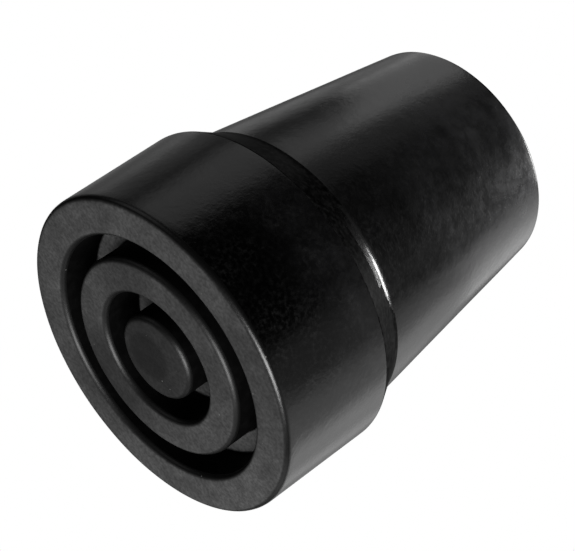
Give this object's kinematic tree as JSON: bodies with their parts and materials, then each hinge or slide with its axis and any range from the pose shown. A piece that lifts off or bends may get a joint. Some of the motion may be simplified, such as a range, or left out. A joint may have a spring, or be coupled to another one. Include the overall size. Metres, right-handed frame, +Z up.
{
  "type": "rubber cane tip",
  "caption": "Moulded rubber tip for a cane: wide foot with a ringed, grooved tread, sloping shoulder and tapered sleeve round a blind socket.",
  "frame": {"origin": "centre of the tread, in the plane of its rings", "axes": "+Z up along the tip's axis, from the tread to the mouth of the socket; X and Y are free, because the tip is turned about Z"},
  "size_m": [0.0384, 0.0384, 0.0474],
  "materials": {
    "rubber": "moulded black rubber with a soft sheen, the tread a little greyer and duller from dust"
  },
  "bodies": {
    "root": {"cane_tip": "rubber"}
  },
  "joints": []
}
